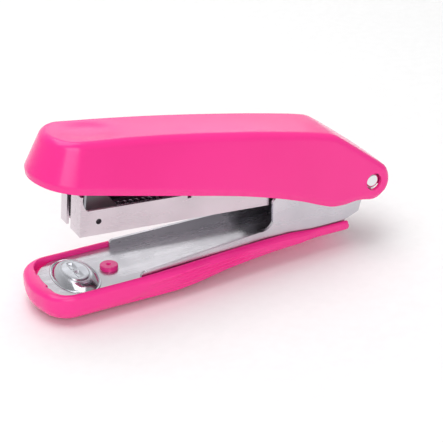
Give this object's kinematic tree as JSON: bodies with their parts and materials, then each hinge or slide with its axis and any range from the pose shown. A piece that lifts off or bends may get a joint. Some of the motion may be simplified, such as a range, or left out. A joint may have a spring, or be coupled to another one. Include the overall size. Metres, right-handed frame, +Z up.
{
  "type": "stapler",
  "caption": "Half-strip desk stapler with a moulded cover and tray, a sprung magazine, a driver blade and a hinged handle that opens for loading.",
  "frame": {"origin": "on the table, under the middle of the whole stapler", "axes": "+X from the nose to the hinge, +Z up, +Y to the left of someone who looks from the nose to the hinge"},
  "size_m": [0.1284, 0.03, 0.0586],
  "materials": {
    "pink_plastic": "glossy moulded hot pink",
    "plate_steel": "nickel-plated sheet, soft polish",
    "anvil_chrome": "polished chrome",
    "spring_steel": "bare spring steel",
    "black_plastic": "moulded black"
  },
  "bodies": {
    "base": {"base_tray": "pink_plastic", "base_plate": "plate_steel", "anvil": "anvil_chrome", "plate_stud": "pink_plastic", "lifting_spring": "spring_steel", "lifting_spring_rivet": "plate_steel", "hinge_pin": "anvil_chrome"},
    "magazine": {"magazine_channel": "plate_steel", "staple_rail": "plate_steel", "rail_rivets": "plate_steel", "pusher_rod": "spring_steel", "rod_anchor": "plate_steel", "pusher_spring": "spring_steel", "hinge_bush": "plate_steel"},
    "pusher": {"pusher": "black_plastic"},
    "handle": {"top_cover": "pink_plastic", "handle_frame": "plate_steel", "driver_blade": "spring_steel", "blade_rivets": "plate_steel", "handle_spring": "spring_steel", "handle_spring_rivet": "plate_steel"}
  },
  "joints": [
    {"name": "magazine_hinge", "type": "hinge", "parent": "base", "child": "magazine", "pos_m": [0.057, 0, 0.022], "axis": [0, 1, 0], "range_deg": [-8.2, 0], "stiffness_Nm_per_rad": 2, "springref_deg": 5.73, "deforming": ["lifting_spring"]},
    {"name": "handle_hinge", "type": "hinge", "parent": "magazine", "child": "handle", "pos_m": [0.057, 0, 0.022], "axis": [0, 1, 0], "range_deg": [-4.6, 80], "stiffness_Nm_per_rad": 0.15, "springref_deg": 20.05, "deforming": ["handle_spring"]},
    {"name": "pusher_slide", "type": "slide", "parent": "magazine", "child": "pusher", "axis": [0.9972, 0, -0.075], "range_m": [0, 0.06], "stiffness_N_per_m": 15, "springref_m": -0.06, "deforming": ["pusher_spring"]}
  ]
}
